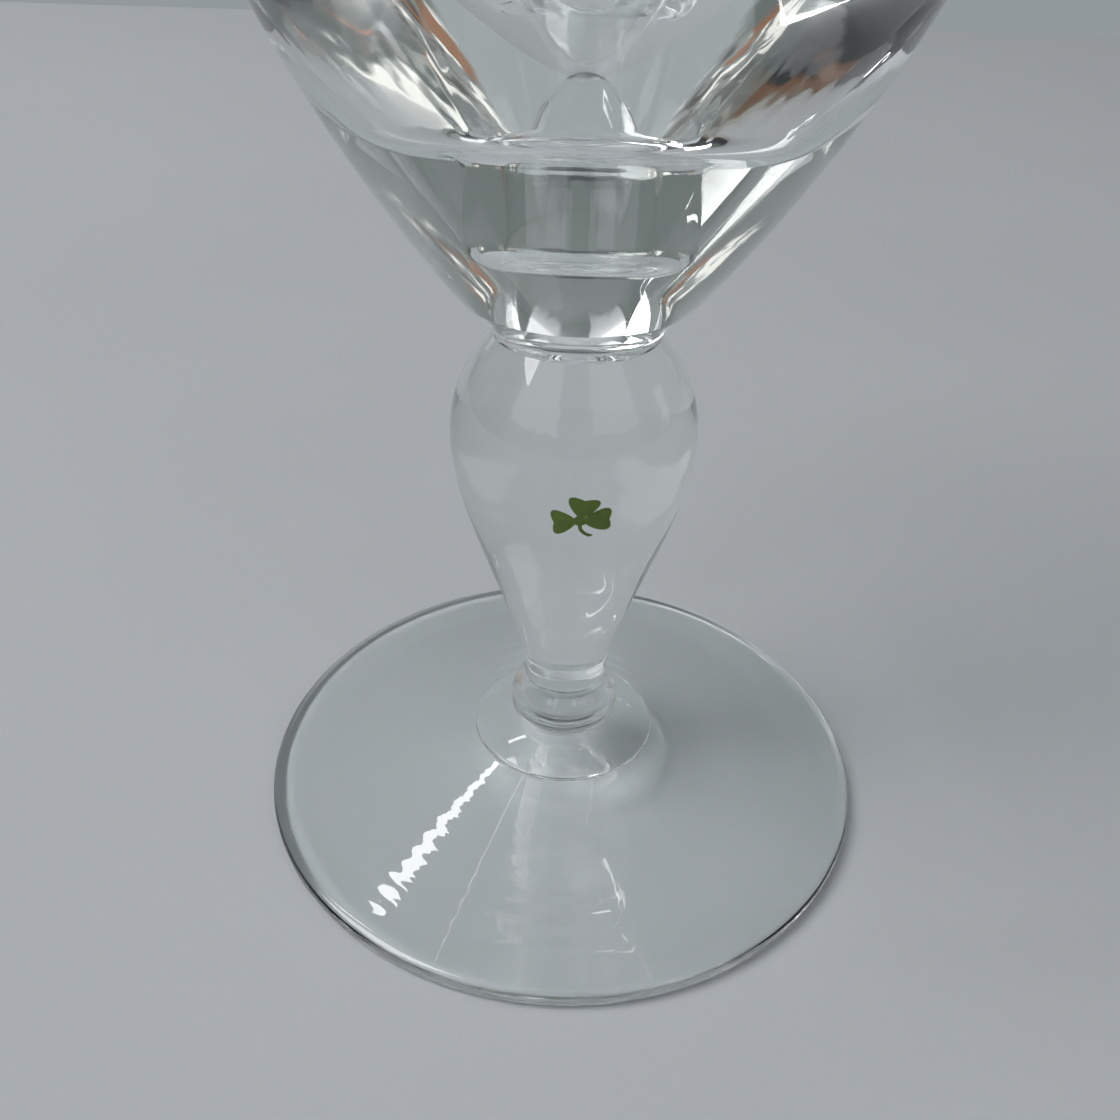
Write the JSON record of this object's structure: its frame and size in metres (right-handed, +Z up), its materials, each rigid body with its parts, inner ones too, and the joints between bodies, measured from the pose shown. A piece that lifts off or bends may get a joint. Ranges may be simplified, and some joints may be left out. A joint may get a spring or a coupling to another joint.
{
  "type": "irish coffee glass",
  "caption": "Stemmed clear glass for hot drinks: tulip bowl with a thick base on a baluster stem, knop and round foot, with green shamrocks on the stem.",
  "frame": {"origin": "on the table plane under the centre of the foot", "axes": "+Z up along the axis of the glass, -Y towards the front shamrock"},
  "size_m": [0.079, 0.079, 0.15],
  "materials": {
    "clear_glass": "clear, fire polished, very slightly grey-green",
    "green_enamel": "opaque fired enamel, satin gloss"
  },
  "bodies": {
    "root": {"foot": "clear_glass", "foot_collar": "clear_glass", "knop": "clear_glass", "stem": "clear_glass", "neck_collar": "clear_glass", "bowl": "clear_glass", "shamrock_front": "green_enamel", "shamrock_right": "green_enamel", "shamrock_left": "green_enamel"}
  },
  "joints": []
}
